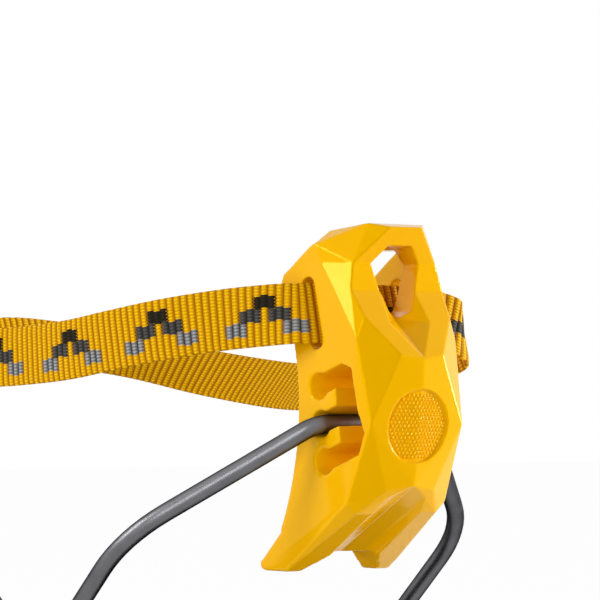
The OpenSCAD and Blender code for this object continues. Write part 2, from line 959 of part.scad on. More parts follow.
// Ankle strap: webbing swept along a route of [x, y, z, lean] in the lever's frame.
// It starts at the buckle, runs back on the left, through the lever and forward on the right.
route = [[-53, 126, 16.5, 0], [-51.5, 116, 16.5, 0], [-49, 103, 16.9, 0], [-46, 85, 18.2, 0],
         [-42.6, 70, 20.4, 0], [-37, 55, 22.9, 0], [-29, 40, 25.1, -2], [-22.5, 28.5, 26.2, -6],
         [-19, 23.6, 26.5, -12], [-15, 21.9, 26.6, -15], [-8, 21.7, 26.6, -15], [0, 21.7, 26.6, -15],
         [8, 21.7, 26.6, -15], [14.5, 21.6, 26.4, -15], [18.5, 20.2, 25.8, -16], [22.5, 19.3, 24.8, -17],
         [26, 20, 23.2, -18], [28.2, 22.8, 21.4, -17], [29, 28, 19.4, -12], [29, 38, 16.6, 0],
         [29, 50, 13.6, 14], [29.8, 62, 10.9, 28], [31.2, 76, 9.4, 36], [33, 90, 9, 38], [34, 105, 9.6, 38], [32, 120, 11.2, 38], [26, 135, 13.8, 38],
         [16, 147, 17.2, 38], [4, 154, 19.7, 34], [-8, 156.4, 20.8, 24], [-20, 156.4, 21, 14],
         [-34, 153.6, 19.6, 6], [-46, 148, 17.4, 0], [-52, 143, 16.5, 0], [-53, 140, 16.5, 0]];
tail_route = [[-59.1, 133, 16.5, 0], [-59.1, 142, 16.5, 0], [-59.3, 150, 15.6, 0], [-59.2, 159, 11.4, 0],
              [-58.6, 166, 4, 0], [-57.8, 170, -6, 0], [-57.2, 172, -18, 0], [-57, 173, -32, 0]];
strap_steps = 3;

function spline(a, b, c, d, t) =
    0.5 * (2 * b + (c - a) * t + (2 * a - 5 * b + 4 * c - d) * t * t + (3 * b - a - 3 * c + d) * t * t * t);
function knot(path, i) = path[max(0, min(len(path) - 1, i))];
function smooth(path) = concat(
    [for (i = [0:len(path) - 2], s = [0:strap_steps - 1])
        spline(knot(path, i - 1), path[i], path[i + 1], knot(path, i + 2), s / strap_steps)],
    [path[len(path) - 1]]);
function place(p) = [p[0], p[1], p[2]];
function along(path, i) = unit(place(knot(path, i + 1)) - place(knot(path, i - 1)));
function square_to(v, t) = unit(v - (v * t) * t);
function wide_way(t, lean, flat) = square_to(cos(lean) * [0, 0, 1] + sin(lean) * flat, t);

// Four corners of the webbing at one ring; flat is the level direction out of its face
function strap_ring(path, i, flat) =
    let (t = along(path, i), w = wide_way(t, path[i][3], flat(t)), n = cross(t, w))
    [for (c = [[-1, -1], [1, -1], [1, 1], [-1, 1]])
        place(path[i]) + w * c[0] * strap_w / 2 + n * c[1] * strap_t / 2];

module webbing(route_points, flat) {
    path = smooth(route_points);
    n = len(path);
    points = [for (i = [0:n - 1], p = strap_ring(path, i, flat)) p];
    sides = [for (i = [0:n - 2], k = [0:3])
        let (a = 4 * i + k, b = 4 * i + (k + 1) % 4)
        each [[a, a + 4, b + 4], [a, b + 4, b]]];
    last = 4 * (n - 1);
    polyhedron(points, concat(sides, [[0, 1, 2], [0, 2, 3], [last, last + 2, last + 1], [last, last + 3, last + 2]]));
}

level_out = function (t) unit(cross(t, [0, 0, 1]));

// Buckle rings and the folded eyes of webbing on their bars
ring_at = [-53, 133, 16.5];
ring_l = 9;
ring_h = strap_w + 2 + ring_d;
ring_step = ring_d + 0.4;
eye_in = ring_d / 2 + 0.2;
eye_out = eye_in + strap_t;

module strap_eye(y) {
    translate([ring_at[0], y, ring_at[2] - strap_w / 2])
        linear_extrude(strap_w)
            difference() {
                union() {
                    for (s = [-1, 1])
                        translate([s * ring_step / 2, 0])
                            circle(eye_out);
                    square([ring_step, 2 * eye_out], center = true);
                }
                for (s = [-1, 1])
                    translate([s * ring_step / 2, 0])
                        circle(eye_in);
                square([ring_step, 2 * eye_in], center = true);
            }
}

module ankle_strap() {
    color(yellow)
        translate(lever_at) {
            webbing(route, level_out);
            strap_eye(ring_at[1] - ring_l / 2);
            strap_eye(ring_at[1] + ring_l / 2);
        }
}

module strap_tail() {
    color(yellow)
        translate(lever_at)
            webbing(tail_route, level_out);
}

keeper_in = strap_t / 2 + 0.6;
keeper_at = [-51.9, 118, 16.5];

module strap_keeper() {
    color(black)
        translate(lever_at + keeper_at)
            rotate([0, 0, 9])
                along_y(-4, 4)
                    difference() {
                        rounded_square(-keeper_in - 1.2, keeper_in + 1.2, -strap_w / 2 - 1.6, strap_w / 2 + 1.6, 1.2);
                        rounded_square(-keeper_in, keeper_in, -strap_w / 2 - 0.4, strap_w / 2 + 0.4, 0.4);
                    }
}

module buckle_ring(side) {
    r = 2.2;
    translate(lever_at + ring_at + [side * ring_step / 2, 0, 0])
        rotate([90, 0, 90])
            wire([[-ring_l / 2, -ring_h / 2, r], [ring_l / 2, -ring_h / 2, r],
                  [ring_l / 2, ring_h / 2, r], [-ring_l / 2, ring_h / 2, r]], ring_d, true);
}

module buckle_ring_inner() {
    color(bright)
        buckle_ring(1);
}

module buckle_ring_outer() {
    color(bright)
        buckle_ring(-1);
}

rear_frame();
front_frame();
rear_pad();
front_pad();
rear_pad_clips();
front_pad_clips();
link_bar();
rear_guide();
front_guide();
guide_rivets();
hinge_pin();
hinge_pin_head();
lock_lever();
lock_peg();
lock_pin();
toe_bail();
heel_bail();
heel_lever();
ankle_strap();
strap_tail();
strap_keeper();
buckle_ring_inner();
buckle_ring_outer();
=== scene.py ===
# %% [markdown]
# # A step-in crampon, seen from behind its heel lever
# The metal frames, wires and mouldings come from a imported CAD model, which is the fixed frame of
# this scene. Each cell takes one piece of the real object, says what it is, and gives it the edges,
# weave and finish that a plain solid lacks.

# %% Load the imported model
import json
import math
from contextlib import contextmanager

import bpy
from mathutils import Matrix, Vector

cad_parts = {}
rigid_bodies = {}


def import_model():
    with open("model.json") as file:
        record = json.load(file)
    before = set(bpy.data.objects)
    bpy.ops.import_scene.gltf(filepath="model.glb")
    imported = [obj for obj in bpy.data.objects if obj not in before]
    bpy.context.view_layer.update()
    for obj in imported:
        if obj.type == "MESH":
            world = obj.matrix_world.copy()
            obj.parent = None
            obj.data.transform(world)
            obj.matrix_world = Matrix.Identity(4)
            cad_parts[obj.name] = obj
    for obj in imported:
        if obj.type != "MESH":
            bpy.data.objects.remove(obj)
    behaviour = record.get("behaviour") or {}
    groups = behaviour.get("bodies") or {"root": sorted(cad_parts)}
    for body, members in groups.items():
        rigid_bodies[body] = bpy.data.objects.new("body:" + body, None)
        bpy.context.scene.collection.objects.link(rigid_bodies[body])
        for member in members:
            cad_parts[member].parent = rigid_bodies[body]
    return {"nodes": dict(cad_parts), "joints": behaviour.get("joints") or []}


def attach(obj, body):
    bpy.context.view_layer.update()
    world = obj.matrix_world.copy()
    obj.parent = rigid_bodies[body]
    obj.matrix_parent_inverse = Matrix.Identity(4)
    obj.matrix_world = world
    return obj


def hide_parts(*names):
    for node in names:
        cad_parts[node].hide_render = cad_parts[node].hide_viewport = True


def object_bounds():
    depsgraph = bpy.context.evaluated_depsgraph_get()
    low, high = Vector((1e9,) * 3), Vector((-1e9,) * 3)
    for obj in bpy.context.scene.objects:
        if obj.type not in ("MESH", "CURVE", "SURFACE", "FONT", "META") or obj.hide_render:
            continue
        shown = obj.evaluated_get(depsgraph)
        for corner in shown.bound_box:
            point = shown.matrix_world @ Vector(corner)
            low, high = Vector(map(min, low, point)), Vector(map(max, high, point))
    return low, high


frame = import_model()
cad_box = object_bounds()
MM = 0.001
PIVOTS = {joint["name"]: Vector(joint["pos_m"]) for joint in frame["joints"] if "pos_m" in joint}
print("nodes:", len(frame["nodes"]), "pivots:", sorted(PIVOTS))

# %% [markdown]
# ## Camera
# A long lens stands behind and to the left of the heel, level with the lever. Its place comes from
# the lever's own origin, so that the picture stays right if the lever moves.

# %% Camera behind the heel
SEAT_TO_LEVER = 17.7 * MM
LEVER = PIVOTS["lever_tilt"] - Vector((0, SEAT_TO_LEVER, 0))
BEHIND = math.radians(37)
AWAY = 800 * MM
RISE = 5.7 * MM
AIM = math.radians(35.009)
LIFT = math.radians(1.705)
LENS = 201.6
SENSOR = 36

stand = Vector((-math.sin(BEHIND) * AWAY, -math.cos(BEHIND) * AWAY, RISE))
look = Vector((math.sin(AIM) * math.cos(LIFT), math.cos(AIM) * math.cos(LIFT), math.sin(LIFT)))
bpy.ops.object.camera_add(location=LEVER + stand)
camera = bpy.context.object
camera.rotation_euler = look.to_track_quat("-Z", "Y").to_euler()
camera.data.lens = LENS
camera.data.sensor_width = SENSOR
bpy.context.scene.camera = camera
print("camera at", [round(c, 4) for c in camera.location])

# %% [markdown]
# ## Hands
# Operators act on whatever is selected, so one helper always clears the selection first. The others
# are small habits built on it: open a mesh for editing, apply modifiers, link a new piece, and join
# several into one.

# %% Selecting, editing and joining
def pick(piece):
    bpy.ops.object.select_all(action="DESELECT")
    piece.select_set(True)
    bpy.context.view_layer.objects.active = piece


@contextmanager
def editing(piece, whole=True):
    pick(piece)
    bpy.ops.object.mode_set(mode="EDIT")
    if whole:
        bpy.ops.mesh.select_all(action="SELECT")
    yield
    bpy.ops.object.mode_set(mode="OBJECT")


def settle(piece):
    pick(piece)
    for modifier in list(piece.modifiers):
        bpy.ops.object.modifier_apply(modifier=modifier.name)


def new_piece(name, data):
    piece = bpy.data.objects.new(name, data)
    bpy.context.scene.collection.objects.link(piece)
    pick(piece)
    return piece


def join(first, *others):
    pick(first)
    for other in others:
        other.select_set(True)
    bpy.ops.object.join()


# %% [markdown]
# Tracing copies a CAD node, welds its loose triangles and clears the lines on its flat faces, which
# makes a mesh that a bevel can walk round. Where a bevel runs out of room it leaves points on top
# of each other, so softening cleans up after it. Weighted normals then keep the flats looking flat.

# %% Tracing and softening
LEAST_EDGE = 0.002 * MM


def trace(node, name, weld=LEAST_EDGE, flat=1.0):
    piece = new_piece(name, frame["nodes"][node].data.copy())
    bpy.ops.mesh.customdata_custom_splitnormals_clear()
    with editing(piece):
        bpy.ops.mesh.remove_doubles(threshold=weld)
        if flat:
            bpy.ops.mesh.dissolve_limited(angle_limit=math.radians(flat))
    return piece


def soften(piece, width, rings=2, angle=math.radians(28)):
    bevel = piece.modifiers.new("edge", "BEVEL")
    bevel.width = width
    bevel.segments = rings
    bevel.limit_method = "ANGLE"
    bevel.angle_limit = angle
    bevel.miter_outer = "MITER_ARC"
    settle(piece)
    with editing(piece):
        bpy.ops.mesh.dissolve_degenerate(threshold=LEAST_EDGE)
    bpy.ops.object.shade_smooth_by_angle(angle=angle)
    level = piece.modifiers.new("level", "WEIGHTED_NORMAL")
    level.keep_sharp = True
    settle(piece)


def stand_in(piece, body, finish, slot, *nodes):
    piece.data.materials.clear()
    piece.data.materials.append(finish)
    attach(piece, body)
    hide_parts(*nodes)
    print(piece.name, "has", len(piece.data.polygons), "faces")


# %% [markdown]
# ## Shader sums
# A finish is easier to read as a sum than as a chain of boxes. Flow wraps one output socket, and
# its operators add the Math nodes.

# %% Flow
class Flow:
    def __init__(self, owner, socket):
        self.owner = owner
        self.socket = socket

    def calc(self, operation, *inputs):
        return self.owner.node("ShaderNodeMath", {"operation": operation}, dict(enumerate(inputs)))

    def __add__(self, other):
        return self.calc("ADD", self, other)

    def __sub__(self, other):
        return self.calc("SUBTRACT", self, other)

    def __rsub__(self, other):
        return self.calc("SUBTRACT", other, self)

    def __mul__(self, other):
        return self.calc("MULTIPLY", self, other)

    def __truediv__(self, other):
        return self.calc("DIVIDE", self, other)

    def __mod__(self, other):
        return self.calc("FLOORED_MODULO", self, other)

    def __gt__(self, other):
        return self.calc("GREATER_THAN", self, other)

    def __lt__(self, other):
        return self.calc("LESS_THAN", self, other)

    def sine(self):
        return self.calc("SINE", self)

    def size(self):
        return self.calc("ABSOLUTE", self)

    def floor(self):
        return self.calc("FLOOR", self)

    def largest(self, other):
        return self.calc("MAXIMUM", self, other)


# %% [markdown]
# Tree makes nodes in any node tree, the sky's included. Finish is the tree of one material, and its
# wear() sets the sockets that vary over the surface.

# %% Tree and Finish
class Tree:
    def __init__(self, tree):
        self.tree = tree

    def set(self, node, sockets):
        for key, value in sockets.items():
            key = key.replace("_", " ") if isinstance(key, str) else key
            if isinstance(value, Flow):
                self.tree.links.new(value.socket, node.inputs[key])
            else:
                node.inputs[key].default_value = value

    def node(self, kind, settings, sockets, out=0):
        made = self.tree.nodes.new(kind)
        for key, value in settings.items():
            setattr(made, key, value)
        self.set(made, sockets)
        return Flow(self, made.outputs[out])


class Finish(Tree):
    def __init__(self, name, **plain):
        self.material = bpy.data.materials.new(name)
        self.material.use_nodes = True
        super().__init__(self.material.node_tree)
        self.shader = self.tree.nodes["Principled BSDF"]
        self.set(self.shader, plain)

    def place(self):
        return self.node("ShaderNodeTexCoord", {}, {}, "Object")

    def parts(self, vector):
        split = self.node("ShaderNodeSeparateXYZ", {}, {0: vector}).socket.node
        return [Flow(self, socket) for socket in split.outputs]

    def noise(self, vector, scale, detail=2.0):
        sockets = {"Vector": vector, "Scale": scale, "Detail": detail}
        return self.node("ShaderNodeTexNoise", {}, sockets)

    def blend(self, factor, first, second):
        sockets = {0: factor, 6: first, 7: second}
        return self.node("ShaderNodeMix", {"data_type": "RGBA"}, sockets, 2)

    def bump(self, height, distance):
        return self.node("ShaderNodeBump", {}, {"Height": height, "Distance": distance})

    def wear(self, **sockets):
        self.set(self.shader, sockets)
        print(self.material.name, "has", len(self.tree.nodes), "shader nodes")
        return self.material


def tone(red, green, blue):
    return (red, green, blue, 1)


# %% [markdown]
# ## Moulded yellow plastic
# The lever is one glossy injection moulding. Its colour is nearly even, with a slightly uneven
# sheen and the faint ripple that a mould leaves on large faces.

# %% Yellow moulding
def make_moulding():
    f = Finish("moulded_yellow", IOR=1.42, Specular_Tint=tone(1.0, 0.8, 0.0))
    place = f.place()
    cloud = f.noise(place, scale=60.0)
    ripple = f.noise(place, scale=140.0)
    return f.wear(
        Base_Color=f.blend(cloud, tone(0.85, 0.42, 0.0), tone(0.89, 0.45, 0.0)),
        Roughness=cloud * 0.05 + 0.08,
        Normal=f.bump(ripple, 0.04 * MM))


moulded_yellow = make_moulding()

# %% [markdown]
# ## Heel lever
# The lever snaps over the boot's heel. Its facets meet in edges that a mould can't make sharp. A
# bevel would have to walk round dozens of odd corners, so the traced solid is remeshed finely
# instead. The remesh leaves specks inside the walls. They aren't joined to the top of the lever, so
# whatever isn't linked to the top goes.

# %% Remeshed lever
LEVER_WELD = 0.03 * MM
VOXEL = 0.38 * MM
TOP = LEVER.z + 47 * MM

lever = trace("heel_lever", "heel_lever_moulding", weld=LEVER_WELD, flat=0)
lever.data.remesh_voxel_size = VOXEL
bpy.ops.object.voxel_remesh()
bpy.ops.mesh.customdata_custom_splitnormals_clear()
for v in lever.data.vertices:
    v.select = v.co.z > TOP
with editing(lever, whole=False):
    bpy.ops.mesh.select_linked()
    bpy.ops.mesh.select_all(action="INVERT")
    bpy.ops.mesh.delete(type="VERT")
print("remeshed to", len(lever.data.vertices), "points")

# %% [markdown]
# A few rounds of smoothing turn every edge and inner corner into a small fillet. The teeth between
# the wire seats and the tips of the feet are rounder, so those two regions get more rounds.

# %% Fillets
SLOT_X = 11
SLOT_Y = (7.5, 26)
SLOT_Z = (-16, 17)
FEET_Z = -34
EDGE_ROUNDS = 2
SLOT_ROUNDS = 12
FEET_ROUNDS = 16


def in_slot(p):
    return abs(p.x) > SLOT_X and SLOT_Y[0] < p.y < SLOT_Y[1] and SLOT_Z[0] < p.z < SLOT_Z[1]


def in_feet(p):
    return p.z < FEET_Z


def region(name, test):
    group = lever.vertex_groups.new(name=name)
    inside = [v.index for v in lever.data.vertices if test((v.co - LEVER) / MM)]
    group.add(inside, 1.0, "REPLACE")
    print(name, "holds", len(inside), "points")
    return group.name


wire_slot = region("wire_slot", in_slot)
feet = region("feet", in_feet)
for rounds, group in ((EDGE_ROUNDS, ""), (SLOT_ROUNDS, wire_slot), (FEET_ROUNDS, feet)):
    fillet = lever.modifiers.new("fillet", "SMOOTH")
    fillet.factor = 0.5
    fillet.iterations = rounds
    fillet.vertex_group = group
settle(lever)
bpy.ops.object.shade_smooth()

# %% [markdown]
# The floor of the round recess is stippled: rows of tiny domes, each set on the spot where a ray
# from behind meets the floor.

# %% Stippled recess
RECESS_AT = LEVER + Vector((0, 0, -0.5)) * MM
RECESS_R = 8.2 * MM
STIPPLE = 1.05 * MM
ROW = STIPPLE * math.sqrt(3) / 2
DOME = Vector((0.45, 0.34, 0.45)) * MM
RAY_BACK = 50 * MM


def recess_spots():
    spots = []
    rows = int(RECESS_R / ROW)
    for row in range(-rows, rows + 1):
        for column in range(-rows - 1, rows + 2):
            across = (column + row % 2 / 2) * STIPPLE
            rise = row * ROW
            if math.hypot(across, rise) > RECESS_R:
                continue
            start = RECESS_AT + Vector((across, -RAY_BACK, rise))
            found, spot, _, _ = lever.ray_cast(start, (0, 1, 0))
            if found:
                spots.append(spot)
    return spots


def make_domes(spots):
    bpy.ops.mesh.primitive_ico_sphere_add(subdivisions=2, radius=1)
    dome = bpy.context.object
    points = [(v.co * DOME + spot)[:] for spot in spots for v in dome.data.vertices]
    faces = [tuple(i + len(dome.data.vertices) * n for i in face.vertices)
             for n in range(len(spots)) for face in dome.data.polygons]
    bpy.data.objects.remove(dome)
    mesh = bpy.data.meshes.new("stipple")
    mesh.from_pydata(points, [], faces)
    domes = new_piece("stipple", mesh)
    bpy.ops.object.shade_smooth()
    return domes


spots = recess_spots()
join(lever, make_domes(spots))
print(len(spots), "domes on the recess floor")
stand_in(lever, "lever", moulded_yellow, "lever_plastic", "heel_lever")

# %% [markdown]
# ## Wire
# The bails are bent from drawn spring wire with a dark burnished coat.

# %% Burnished wire
def make_wire():
    f = Finish("burnished_wire", Metallic=1.0, Specular_Tint=tone(0.02, 0.02, 0.02))
    place = f.place()
    cloud = f.noise(place, scale=160.0, detail=4.0)
    grain = f.noise(place, scale=2600.0)
    return f.wear(
        Base_Color=f.blend(cloud, tone(0.11, 0.11, 0.116), tone(0.21, 0.21, 0.22)),
        Roughness=cloud * 0.1 + grain * 0.1 + 0.27,
        Normal=f.bump(grain, 0.04 * MM))


burnished_wire = make_wire()

# %% [markdown]
# A bender works from corners and radii, and so does this cell: each corner (x, y, radius) of a flat
# path becomes an arc, and a round section is drawn along the line. Lengths are in millimetres.

# %% Bending
ARC = math.radians(5)


def bend_line(corners, closed=False):
    line = []
    count = len(corners)
    for i, (x, y, radius) in enumerate(corners):
        here = Vector((x, y))
        if not closed and i in (0, count - 1):
            line.append(here)
            continue
        back = (Vector(corners[i - 1][:2]) - here).normalized()
        on = (Vector(corners[(i + 1) % count][:2]) - here).normalized()
        turn = math.pi - back.angle(on)
        middle = here + (back + on).normalized() * radius / math.cos(turn / 2)
        start = here + back * radius * math.tan(turn / 2) - middle
        way = 1 if back.x * on.y - back.y * on.x < 0 else -1
        steps = max(2, round(turn / ARC))
        for k in range(steps + 1):
            line.append(middle + Matrix.Rotation(way * turn * k / steps, 2) @ start)
    return line


def mirrored(half):
    return half + [(-x, y, radius) for x, y, radius in reversed(half)]


def draw_rod(name, points, thick, closed=False):
    path = bpy.data.curves.new(name, "CURVE")
    path.dimensions = "3D"
    path.bevel_depth = thick / 2 * MM
    path.bevel_resolution = 6
    path.use_fill_caps = True
    run = path.splines.new("POLY")
    run.points.add(len(points) - 1)
    for place, point in zip(points, run.points):
        point.co = (*(Vector(place) * MM), 1)
    run.use_cyclic_u = closed
    new_piece(name, path)
    bpy.ops.object.convert(target="MESH")
    bpy.ops.object.shade_smooth_by_angle(angle=math.radians(40))
    return bpy.context.object


# %% [markdown]
# The heel bail turns in the ears of the rear frame, and its bar lies in the lever's middle seat.

# %% Heel bail
WIRE = 4.5
HEEL_STUB = 37.5
HEEL_ARM = 51.5
HEEL_FLARE = 42
HEEL_BAR = 16.7
HEEL_STUB_BEND = 6
HEEL_FLARE_BEND = 34
HEEL_BAR_BEND = 8

seat = PIVOTS["lever_tilt"] / MM
heel_pivot = PIVOTS["heel_swing"] / MM
reach = (heel_pivot - seat).length
down = (heel_pivot - seat).normalized()
heel_half = [(-HEEL_STUB, reach, 0), (-HEEL_ARM, reach, HEEL_STUB_BEND),
             (-HEEL_ARM, HEEL_FLARE, HEEL_FLARE_BEND), (-HEEL_BAR, 0, HEEL_BAR_BEND)]
heel_line = [seat + Vector((p.x, 0, 0)) + down * p.y for p in bend_line(mirrored(heel_half))]
heel_rod = draw_rod("heel_bail_rod", heel_line, WIRE)
stand_in(heel_rod, "heel_wire", burnished_wire, "wire_steel", "heel_bail")

# %% [markdown]
# The toe bail is the same wire, and leans forward from the ears of the front frame.

# %% Toe bail
TOE_LEAN = math.radians(35)
TOE_STUB = 39.5
TOE_ARM = 48.2
TOE_FLARE = 21
TOE_BAR = 31
TOE_REACH = 50
TOE_STUB_BEND = 5
TOE_BEND = 14

toe_pivot = PIVOTS["toe_swing"] / MM
lean = Vector((0, math.cos(TOE_LEAN), math.sin(TOE_LEAN)))
toe_half = [(TOE_STUB, 0, 0), (TOE_ARM, 0, TOE_STUB_BEND), (TOE_ARM, TOE_FLARE, TOE_BEND),
            (TOE_BAR, TOE_REACH, TOE_BEND)]
toe_line = [toe_pivot + Vector((p.x, 0, 0)) + lean * p.y for p in bend_line(mirrored(toe_half))]
toe_rod = draw_rod("toe_bail_rod", toe_line, WIRE)
stand_in(toe_rod, "toe_wire", burnished_wire, "wire_steel", "toe_bail")

# %% [markdown]
# Two wire rings make the strap's buckle. They lie side by side, and the webbing grips between them.

# %% Buckle rings
RING_AT = Vector((-53, 133, 16.5))
RING_D = 3.0
RING_L = 9.0
RING_H = 20.0
RING_BEND = 2.2
RING_STEP = 3.4

ring_corners = [(y * RING_L / 2, z * RING_H / 2, RING_BEND)
                for y, z in ((-1, -1), (1, -1), (1, 1), (-1, 1))]
for node, side in (("buckle_ring_inner", 1), ("buckle_ring_outer", -1)):
    centre = LEVER / MM + RING_AT + Vector((side * RING_STEP / 2, 0, 0))
    ring_line = [centre + Vector((0, p.x, p.y)) for p in bend_line(ring_corners, closed=True)]
    ring_rod = draw_rod(node + "_rod", ring_line, RING_D, closed=True)
    stand_in(ring_rod, "lever", burnished_wire, "wire_steel", node)

# %% [markdown]
# ## Webbing
# The ankle strap is a narrow woven band. Its route is a list of points from the lever's origin, in
# millimetres, each with the angle that the band leans at. A smooth curve goes through the points,
# and is then divided into even steps, six to a rib.

# %% Route of the strap
STRAP_W = 15.0
STRAP_T = 1.6
RIB = 1.95
RIB_STEPS = 6

STRAP_ROUTE = [
    (-53, 126, 16.5, 0), (-51.5, 116, 16.5, 0), (-49, 103, 16.9, 0), (-46, 85, 18.2, 0),
    (-42.6, 70, 20.4, 0), (-37, 55, 22.9, 0), (-29, 40, 25.1, -2), (-22.5, 28.5, 26.2, -6),
    (-19, 23.6, 26.5, -12), (-15, 21.9, 26.6, -15), (-8, 21.7, 26.6, -15), (0, 21.7, 26.6, -15),
    (8, 21.7, 26.6, -15), (14.5, 21.6, 26.4, -15), (18.5, 20.2, 25.8, -16),
    (22.8, 18.9, 24.8, -14), (26.8, 18.6, 23.2, -11), (29.6, 20.8, 21.4, -7),
    (30.7, 25.5, 19.6, -3), (30.5, 36, 16.8, 3), (29.8, 50, 13.6, 14), (29.8, 62, 10.9, 28),
    (31.2, 76, 9.4, 36), (33, 90, 9, 38), (34, 105, 9.6, 38), (32, 120, 11.2, 38),
    (26, 135, 13.8, 38), (16, 147, 17.2, 38), (4, 154, 19.7, 34), (-8, 156.4, 20.8, 24),
    (-20, 156.4, 21, 14), (-34, 153.6, 19.6, 6), (-46, 148, 17.4, 0), (-52, 143, 16.5, 0),
    (-53, 140, 16.5, 0)]
TAIL_ROUTE = [
    (-59.1, 133, 16.5, 0), (-59.1, 142, 16.5, 0), (-59.3, 150, 15.6, 0), (-59.2, 159, 11.4, 0),
    (-58.6, 166, 4, 0), (-57.8, 170, -6, 0), (-57.2, 172, -18, 0), (-57, 173, -32, 0)]


def spline(route, steps=24):
    knots = [Vector(p) for p in route]
    line = []
    for i in range(len(knots) - 1):
        a, b, c, d = (knots[min(max(i + k, 0), len(knots) - 1)] for k in (-1, 0, 1, 2))
        for s in range(steps):
            t = s / steps
            line.append(0.5 * (2 * b + (c - a) * t + (2 * a - 5 * b + 4 * c - d) * t * t
                               + (3 * b - a - 3 * c + d) * t ** 3))
    return line + [knots[-1]]


def even(line, step):
    lengths = [0.0]
    for a, b in zip(line, line[1:]):
        lengths.append(lengths[-1] + (b.xyz - a.xyz).length)
    count = round(lengths[-1] / step)
    spaced, i = [], 0
    for k in range(count + 1):
        want = lengths[-1] * k / count
        while i < len(line) - 2 and lengths[i + 1] < want:
            i += 1
        share = (want - lengths[i]) / max(lengths[i + 1] - lengths[i], 1e-9)
        spaced.append(line[i].lerp(line[i + 1], share))
    return spaced, lengths[-1]


print("strap through", len(STRAP_ROUTE), "points, tail through", len(TAIL_ROUTE))

# %% [markdown]
# Each weft cord makes a rib across the band, so its thickness swells and sinks as it is swept along
# the route, ring by ring. Every point keeps three numbers for the weave: how far along the band it
# lies, how far across, and on which face.

# %% Rings of the band
RING = 24
RIB_DEPTH = 0.34
RIB_SWELL = 0.7
SQUARENESS = 0.45


def squared(wave):
    return math.copysign(abs(wave) ** SQUARENESS, wave)


TURNS = [2 * math.pi * k / RING for k in range(RING)]
SECTION = [(squared(math.cos(turn)), squared(math.sin(turn))) for turn in TURNS]


def band_axes(line, i, closed=False):
    last = len(line) - 1
    back, on = max(i - 1, 0), min(i + 1, last)
    if closed:
        back, on = (i - 1) % last, (i + 1) % last
    along = (line[on].xyz - line[back].xyz).normalized()
    level = along.cross(Vector((0, 0, 1))).normalized()
    lean = math.radians(line[i].w)
    wide = math.cos(lean) * Vector((0, 0, 1)) + math.sin(lean) * level
    wide = (wide - wide.dot(along) * along).normalized()
    return wide, along.cross(wide)


def band_points(line, length, closed):
    points, weave = [], []
    last = len(line) - 1
    for i, at in enumerate(line[:last] if closed else line):
        wide, out = band_axes(line, i, closed)
        run = length * i / last
        swell = abs(math.sin(math.pi * run / RIB)) ** RIB_SWELL
        thick = STRAP_T / 2 - RIB_DEPTH * (1 - swell)
        for across, side in SECTION:
            offset = wide * (across * STRAP_W / 2) + out * (side * thick)
            points.append((LEVER + (at.xyz + offset) * MM)[:])
            weave.append((run, across * STRAP_W / 2, side))
    return points, weave


def band_faces(last, closed):
    faces = []
    for i in range(last):
        on = (i + 1) % last * RING if closed else (i + 1) * RING
        for k in range(RING):
            turn = (k + 1) % RING
            faces.append((i * RING + k, i * RING + turn, on + turn, on + k))
    if not closed:
        faces.append(tuple(reversed(range(RING))))
        faces.append(tuple(last * RING + k for k in range(RING)))
    return faces


def weave_band(name, route, closed=False):
    line, length = even(route, RIB / RIB_STEPS)
    points, weave = band_points(line, length, closed)
    mesh = bpy.data.meshes.new(name)
    mesh.from_pydata(points, [], band_faces(len(line) - 1, closed))
    field = mesh.attributes.new("weave", "FLOAT_VECTOR", "POINT")
    field.data.foreach_set("vector", [n for w in weave for n in w])
    piece = new_piece(name, mesh)
    with editing(piece):
        bpy.ops.mesh.normals_make_consistent(inside=False)
    bpy.ops.object.shade_smooth()
    print(name, "is", round(length), "mm long")
    return piece


# %% [markdown]
# The yarns of the warp wrap over the ribs in turn, which shifts them by half a yarn from one rib to
# the next. A plain chevron of three greys is woven in, row by row, and its edges are as ragged as
# the yarns that make them. The gold is painted darker in the grooves between ribs and lighter on
# the rib crests and yarns, a painted shade and painted highlight over the real relief, and the
# print is given the same painted shade in the grooves.

# %% Woven finish
YARN = 0.8
MARK_EVERY = 15.0
MARK_MIDDLE = 7.0
MARK_ARM = 1.6
MARK_LEAN = 2.0
MARK_LOW = 4.8
MARK_ROW = 3.2
RAGGED = 0.4


